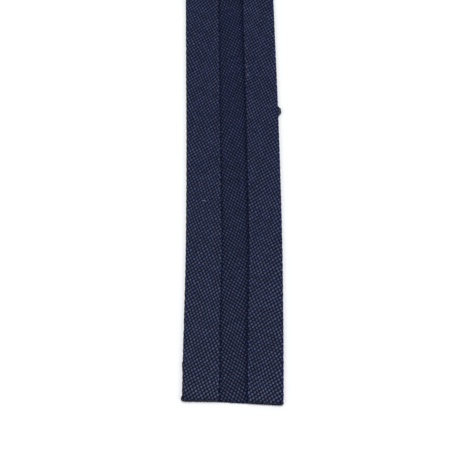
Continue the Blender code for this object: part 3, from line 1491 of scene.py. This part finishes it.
@dataclass(frozen=True)
class FoldSlub:
    """A knotty thick place in one thread, which stands out of the right fold.

    Attributes:
        route: The way the strip lies.
        shift: What turns the photographed plan to the frame, across and along.
        path: Rows of distance past the fold's outer side, place along the tape, and height.
        thickest: Radius in the middle of its length.
        turns: Turns of twist from end to end.
        flatness: Thickness of its section as a share of its width.
        lump_depth: How far its lumps stand out.
        count: Points along it.
        sides: Sides of its section.
        fuzz_lift: Where its loose fibres grow from, off its path.
        fuzz_aim: The way they point.
    """

    route: FoldedRoute
    shift: tuple[float, float]
    path: Rows = (
        (-0.50, 70.5, 0.60),
        (-0.10, 70.1, 0.60),
        (0.22, 69.6, 0.56),
        (0.40, 69.05, 0.50),
        (0.28, 68.5, 0.46),
        (-0.08, 68.0, 0.48),
        (-0.50, 67.5, 0.55),
    )
    thickest: float = 0.40
    turns: float = 2.6
    flatness: float = 0.66
    lump_depth: float = 0.13
    count: int = 64
    sides: int = 18
    fuzz_lift: Triple = (0.15, 0.0, 0.1)
    fuzz_aim: Triple = (1.0, 0.2, 0.2)

    def _points(self) -> np.ndarray:
        """Gives the path in the frame.

        Returns:
            Rows of x, y and z in metres.
        """
        rows = np.array(self.path)
        fold = self.route.middle(rows[:, 1]) + self.route.width / 2 + rows[:, 0]
        points = np.stack([fold - self.shift[0], rows[:, 1] - self.shift[1], rows[:, 2]], axis=1)
        return points * MM

    def build(self) -> bpy.types.Object:
        """Winds the slub along its path.

        Returns:
            The plain mesh object of the slub.
        """
        yarn = WoundYarn(
            "fold_slub",
            self.thickest,
            turns=self.turns,
            flatness=self.flatness,
            lump_depth=self.lump_depth,
            count=self.count,
            sides=self.sides,
        )
        return yarn.wind([self._points()], SLUB_YARN)

    def fuzz(self) -> bpy.types.Object:
        """Grows the few loose fibres of the slub.

        Returns:
            The plain mesh object of the fibres.
        """
        points = self._points()[1:-1]
        aims = np.tile(self.fuzz_aim, (len(points), 1))
        lift = np.array(self.fuzz_lift) * MM
        tufts = FibreTufts(
            "fold_slub_fibres", per_end=4, shortest=0.20, longest=0.42, stray=0.9, seed=9
        )
        return tufts.grow(points + lift, aims, SLUB_YARN)


@dataclass(frozen=True)
class Lint:
    """Stray pale fibres that cling to the cloth.

    Attributes:
        shift: What turns the photographed plan to the frame, across and along.
        rows: The middle of each fibre across and along and its height, then its length,
            the angle it lies at, and how far it arches to one side.
        thickest: Radius in the middle of a fibre.
        count: Points along the path of a fibre.
    """

    shift: tuple[float, float]
    rows: Rows = (
        (-6.55, 45.35, 1.24, 0.95, -6.0, 0.20),
        (2.72, 80.5, 1.26, 0.45, 50.0, 0.05),
        (2.80, 78.2, 1.26, 0.80, 38.0, -0.08),
    )
    thickest: float = 0.075
    count: int = 7

    def _path(self, row: tuple[float, ...]) -> np.ndarray:
        """Draws one fibre.

        Args:
            row: The fibre's row.

        Returns:
            Rows of x, y and z along the fibre, in metres in the frame.
        """
        x, y, z, length, angle, arch = row
        share = np.linspace(-1, 1, self.count)
        way = np.array([math.cos(math.radians(angle)), math.sin(math.radians(angle)), 0.0])
        side = np.array([-way[1], way[0], 0.0])
        middle = np.array([x - self.shift[0], y - self.shift[1], z])
        bend = (1 - share**2)[:, None] * side * arch
        return (middle + share[:, None] * way * length / 2 + bend) * MM

    def build(self) -> bpy.types.Object:
        """Lays the fibres."""
        yarn = WoundYarn("lint_fibres", self.thickest)
        return yarn.wind([self._path(row) for row in self.rows], PALE_LINT)


@dataclass(frozen=True)
class SoftBox:
    """One square soft box, aimed at the tape.

    Attributes:
        name: The light's name.
        place: Its place in millimetres.
        size: The side of its face in millimetres.
        power: Its power in watts.
    """

    name: str
    place: Triple
    size: float
    power: float

    def hang(self) -> None:
        """Makes the light and aims it."""
        lamp = bpy.data.lights.new(self.name, "AREA")
        lamp.shape = "SQUARE"
        lamp.size = self.size * MM
        lamp.energy = self.power
        box = bpy.data.objects.new(self.name, lamp)
        box.location = Vector(self.place) * MM
        box.rotation_euler = (-Vector(self.place)).to_track_quat("-Z", "Y").to_euler()
        bpy.context.scene.collection.objects.link(box)


@dataclass(frozen=True)
class Studio:
    """Pale floor, soft lights and the camera of the photograph.

    The camera's place comes from the photographed plan: its foot is on the column x = 0, in
    front of the cut end.

    Attributes:
        shift: What turns the photographed plan to the frame, across and along.
        pitch: How far down the camera looks, in degrees.
        focal_px: Focal length in the photograph's pixels.
        height: Height of the camera over the table.
        stand_off: How far in front of the cut end the camera's foot lies.
        sensor: Width of the camera's sensor.
        near_clip: Distance at which the camera starts to see.
        floor_half: Half the side of the floor.
        floor_drop: How far the floor lies below the tape, so that the two don't meet.
        floor_white: Colour of the floor.
        floor_rough: Roughness of the floor.
        floor_gloss: Strength of the floor's gloss.
        air_light: Strength of the light from all round.
        boxes: Two soft keys from the front, and a top light whose mirror place on the
            table lies at the near end of the tape.
    """

    shift: tuple[float, float]
    pitch: float = 60.0
    focal_px: float = 1472.8
    height: float = 266.4
    stand_off: float = 115.9
    sensor: float = 36.0
    near_clip: float = 10.0
    floor_half: float = 3000.0
    floor_drop: float = 0.01
    floor_white: str = "EAEBED"
    floor_rough: float = 0.9
    floor_gloss: float = 0.1
    air_light: float = 0.42
    boxes: tuple[SoftBox, ...] = (
        SoftBox("key_right", (440.0, -320.0, 470.0), 320.0, 0.9),
        SoftBox("key_left", (-440.0, -300.0, 470.0), 320.0, 0.75),
        SoftBox("top", (0.0, 128.0, 800.0), 260.0, 4.2),
    )

    def floor(self) -> None:
        """Makes the plain pale floor."""
        half = self.floor_half * MM
        corners = [(-half, -half, 0.0), (half, -half, 0.0), (half, half, 0.0), (-half, half, 0.0)]
        mesh = bpy.data.meshes.new("floor")
        mesh.from_pydata(corners, [], [(0, 1, 2, 3)])
        # Matt white card, on which the eye sees no gloss
        material = new_material("white_card_floor")
        card = {
            "Base Color": linear(self.floor_white),
            "Roughness": self.floor_rough,
            "Specular IOR Level": self.floor_gloss,
        }
        shader = add_node(material.node_tree, SHADER, card)
        add_node(material.node_tree, OUTPUT, {0: shader})
        mesh.materials.append(material)
        floor = link_piece("floor", mesh)
        floor.location.z = -self.floor_drop * MM

    def camera(self) -> None:
        """Sets the camera where the photograph was taken from."""
        data = bpy.data.cameras.new("camera")
        data.sensor_width = self.sensor
        data.lens = self.sensor * self.focal_px / PHOTO_SIDE
        data.clip_start = self.near_clip * MM
        camera = bpy.data.objects.new("camera", data)
        foot_x, foot_y = -self.shift[0], -self.stand_off - self.shift[1]
        camera.location = Vector((foot_x, foot_y, self.height)) * MM
        camera.rotation_euler = (math.radians(90 - self.pitch), 0.0, 0.0)
        bpy.context.scene.collection.objects.link(camera)
        bpy.context.scene.camera = camera

    def air(self) -> None:
        """Lights the scene evenly from all round."""
        world = bpy.data.worlds.new("studio_air")
        world.use_nodes = True
        background = world.node_tree.nodes["Background"]
        background.inputs["Color"].default_value = (1.0, 1.0, 1.0, 1.0)
        background.inputs["Strength"].default_value = self.air_light
        bpy.context.scene.world = world

    def build(self) -> None:
        """Makes the whole studio."""
        self.floor()
        for box in self.boxes:
            box.hang()
        self.air()
        bpy.context.scene.view_settings.view_transform = "Standard"
        self.camera()


def main() -> None:
    """Builds the tape around its frame, then the studio."""
    logging.basicConfig(level=logging.INFO, format="%(name)s: %(message)s")
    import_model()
    weave, route = PlainWeave(), FoldedRoute()
    low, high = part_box(NODE)
    far_left = float(route.middle(np.array(route.length))) - route.width / 2
    shift = (far_left - low.x / MM, route.length - high.y / MM)

    tape = TapeCloth(weave, route, shift)
    slub = FoldSlub(route, shift)
    cloth = tape.build()
    fibres = [tape.yarn_ends(), slub.build(), slub.fuzz(), Lint(shift).build()]
    for piece in [cloth, *fibres]:
        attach(piece, BODY)
        log.info("%s: %d faces", piece.name, len(piece.data.polygons))
    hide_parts(NODE)
    start = np.array(0.0)
    flat_width = route.raw_edge(start, Side.LEFT) + route.raw_edge(start, Side.RIGHT)

    Studio(shift).build()


if __name__ == "__main__":
    main()
